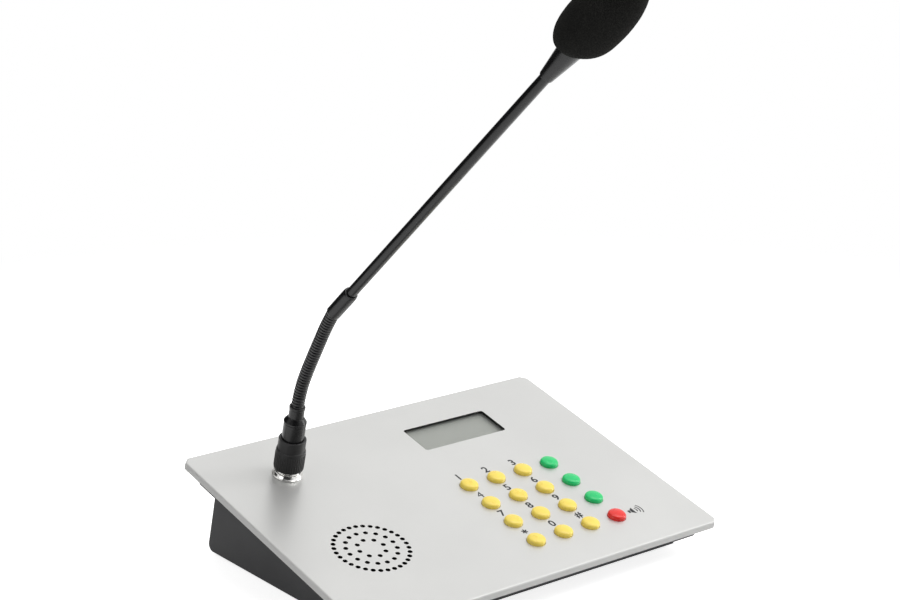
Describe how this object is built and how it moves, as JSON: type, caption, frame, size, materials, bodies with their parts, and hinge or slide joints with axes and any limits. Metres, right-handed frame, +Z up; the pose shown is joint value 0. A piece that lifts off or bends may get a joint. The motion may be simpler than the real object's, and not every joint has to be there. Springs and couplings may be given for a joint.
{
  "type": "desktop paging microphone",
  "caption": "Desktop paging microphone: a sloping console with a round keypad, a display, a loudspeaker and a gooseneck microphone in a foam windscreen.",
  "frame": {"origin": "on the desk under the feet, at the centre of the footprint of the whole object at rest", "axes": "+X to the right of the user who faces the sloping panel, +Y away from the user, +Z up"},
  "size_m": [0.301, 0.3498, 0.4332],
  "materials": {
    "panel_silver": "satin",
    "case_black": "satin",
    "screw_steel": "satin",
    "rubber_black": "matte",
    "cloth_black": "matte",
    "black_plastic": "satin",
    "speaker_paper": "matte",
    "magnet_grey": "satin",
    "board_green": "satin",
    "window_clear": "gloss",
    "display_grey": "satin",
    "chrome_bright": "polished",
    "pin_brass": "polished",
    "satin_black": "satin",
    "foam_black": "matte",
    "key_yellow": "gloss",
    "key_green": "gloss",
    "key_red": "gloss"
  },
  "bodies": {
    "console": {"top_panel": "panel_silver", "lower_case": "case_black", "panel_screws": "screw_steel", "rubber_feet": "rubber_black", "grille_cloth": "cloth_black", "speaker_frame": "black_plastic", "speaker_cone": "speaker_paper", "speaker_magnet": "magnet_grey", "speaker_screws": "screw_steel", "keypad_board": "board_green", "key_switches": "black_plastic", "keypad_spacers": "screw_steel", "display_window": "window_clear", "display_glass": "display_grey", "display_board": "board_green", "display_spacers": "screw_steel", "main_board": "board_green", "board_spacers": "screw_steel", "board_screws": "screw_steel", "network_jack": "black_plastic", "power_jack": "black_plastic", "audio_jack": "black_plastic", "mic_socket": "chrome_bright", "socket_nut": "screw_steel", "socket_insert": "black_plastic"},
    "mic_plug": {"plug_shell": "satin_black", "plug_insert": "black_plastic", "plug_pins": "pin_brass", "plug_cap": "satin_black", "neck_sleeve": "satin_black", "neck_base": "satin_black"},
    "lock_ring": {"lock_ring": "satin_black"},
    "neck_1": {"neck_link_1": "satin_black"},
    "neck_2": {"neck_link_2": "satin_black"},
    "neck_3": {"neck_link_3": "satin_black"},
    "neck_4": {"neck_link_4": "satin_black"},
    "neck_5": {"neck_link_5": "satin_black"},
    "neck_6": {"neck_link_6": "satin_black"},
    "head": {"stem_collar": "satin_black", "stem_tube": "satin_black", "head_cone": "satin_black", "capsule_cup": "satin_black", "mic_capsule": "screw_steel", "windscreen": "foam_black"},
    "key_1": {"key_1": "key_yellow"},
    "key_2": {"key_2": "key_yellow"},
    "key_3": {"key_3": "key_yellow"},
    "key_4": {"key_4": "key_yellow"},
    "key_5": {"key_5": "key_yellow"},
    "key_6": {"key_6": "key_yellow"},
    "key_7": {"key_7": "key_yellow"},
    "key_8": {"key_8": "key_yellow"},
    "key_9": {"key_9": "key_yellow"},
    "key_star": {"key_star": "key_yellow"},
    "key_0": {"key_0": "key_yellow"},
    "key_hash": {"key_hash": "key_yellow"},
    "key_green_a": {"key_green_a": "key_green"},
    "key_green_b": {"key_green_b": "key_green"},
    "key_green_c": {"key_green_c": "key_green"},
    "key_red": {"key_red": "key_red"}
  },
  "joints": [
    {"name": "key_1_press", "type": "slide", "parent": "console", "child": "key_1", "axis": [0, 0.2368, -0.9715], "range_m": [0, 0.0005], "stiffness_N_per_m": 2400},
    {"name": "key_2_press", "type": "slide", "parent": "console", "child": "key_2", "axis": [0, 0.2368, -0.9715], "range_m": [0, 0.0005], "stiffness_N_per_m": 2400},
    {"name": "key_3_press", "type": "slide", "parent": "console", "child": "key_3", "axis": [0, 0.2368, -0.9715], "range_m": [0, 0.0005], "stiffness_N_per_m": 2400},
    {"name": "key_4_press", "type": "slide", "parent": "console", "child": "key_4", "axis": [0, 0.2368, -0.9715], "range_m": [0, 0.0005], "stiffness_N_per_m": 2400},
    {"name": "key_5_press", "type": "slide", "parent": "console", "child": "key_5", "axis": [0, 0.2368, -0.9715], "range_m": [0, 0.0005], "stiffness_N_per_m": 2400},
    {"name": "key_6_press", "type": "slide", "parent": "console", "child": "key_6", "axis": [0, 0.2368, -0.9715], "range_m": [0, 0.0005], "stiffness_N_per_m": 2400},
    {"name": "key_7_press", "type": "slide", "parent": "console", "child": "key_7", "axis": [0, 0.2368, -0.9715], "range_m": [0, 0.0005], "stiffness_N_per_m": 2400},
    {"name": "key_8_press", "type": "slide", "parent": "console", "child": "key_8", "axis": [0, 0.2368, -0.9715], "range_m": [0, 0.0005], "stiffness_N_per_m": 2400},
    {"name": "key_9_press", "type": "slide", "parent": "console", "child": "key_9", "axis": [0, 0.2368, -0.9715], "range_m": [0, 0.0005], "stiffness_N_per_m": 2400},
    {"name": "key_star_press", "type": "slide", "parent": "console", "child": "key_star", "axis": [0, 0.2368, -0.9715], "range_m": [0, 0.0005], "stiffness_N_per_m": 2400},
    {"name": "key_0_press", "type": "slide", "parent": "console", "child": "key_0", "axis": [0, 0.2368, -0.9715], "range_m": [0, 0.0005], "stiffness_N_per_m": 2400},
    {"name": "key_hash_press", "type": "slide", "parent": "console", "child": "key_hash", "axis": [0, 0.2368, -0.9715], "range_m": [0, 0.0005], "stiffness_N_per_m": 2400},
    {"name": "key_green_a_press", "type": "slide", "parent": "console", "child": "key_green_a", "axis": [0, 0.2368, -0.9715], "range_m": [0, 0.0005], "stiffness_N_per_m": 2400},
    {"name": "key_green_b_press", "type": "slide", "parent": "console", "child": "key_green_b", "axis": [0, 0.2368, -0.9715], "range_m": [0, 0.0005], "stiffness_N_per_m": 2400},
    {"name": "key_green_c_press", "type": "slide", "parent": "console", "child": "key_green_c", "axis": [0, 0.2368, -0.9715], "range_m": [0, 0.0005], "stiffness_N_per_m": 2400},
    {"name": "key_red_press", "type": "slide", "parent": "console", "child": "key_red", "axis": [0, 0.2368, -0.9715], "range_m": [0, 0.0005], "stiffness_N_per_m": 2400},
    {"name": "plug_pull", "type": "slide", "parent": "console", "child": "mic_plug", "axis": [0, -0.2368, 0.9715], "range_m": [0, 0.026]},
    {"name": "lock_ring_turn", "type": "hinge", "parent": "mic_plug", "child": "lock_ring", "pos_m": [-0.0946, 0.1266, 0.08187], "axis": [0, -0.2368, 0.9715], "continuous": true},
    {"name": "neck_bend", "type": "hinge", "parent": "mic_plug", "child": "neck_1", "pos_m": [-0.0946, 0.11848, 0.11519], "axis": [0.9949, 0.0982, 0.0239], "range_deg": [-14, 11]},
    {"name": "neck_sway", "type": "hinge", "parent": "neck_1", "child": "neck_2", "pos_m": [-0.09451, 0.11441, 0.12796], "axis": [-0.0987, 0.8924, 0.4403], "range_deg": [-10, 10]},
    {"name": "neck_bend_2", "type": "hinge", "parent": "neck_2", "child": "neck_3", "pos_m": [-0.09421, 0.10851, 0.13998], "axis": [0.9949, 0.0982, 0.0239], "range_deg": [-14, 11]},
    {"name": "neck_sway_2", "type": "hinge", "parent": "neck_3", "child": "neck_4", "pos_m": [-0.09385, 0.10199, 0.15169], "axis": [-0.0971, 0.8639, 0.4943], "range_deg": [-10, 10]},
    {"name": "neck_bend_3", "type": "hinge", "parent": "neck_4", "child": "neck_5", "pos_m": [-0.09348, 0.09537, 0.16333], "axis": [0.9949, 0.0982, 0.0239], "range_deg": [-14, 11]},
    {"name": "neck_sway_3", "type": "hinge", "parent": "neck_5", "child": "neck_6", "pos_m": [-0.0931, 0.08874, 0.17497], "axis": [-0.0947, 0.8224, 0.5609], "range_deg": [-10, 10]},
    {"name": "neck_bend_4", "type": "hinge", "parent": "neck_6", "child": "head", "pos_m": [-0.09263, 0.08124, 0.18606], "axis": [0.9949, 0.0982, 0.0239], "range_deg": [-7, 5.5]}
  ],
  "couplings": [
    {"joint": "neck_bend_2", "follows": "neck_bend", "ratio": 1},
    {"joint": "neck_sway_2", "follows": "neck_sway", "ratio": 1},
    {"joint": "neck_bend_3", "follows": "neck_bend", "ratio": 1},
    {"joint": "neck_sway_3", "follows": "neck_sway", "ratio": 1},
    {"joint": "neck_bend_4", "follows": "neck_bend", "ratio": 0.5}
  ]
}
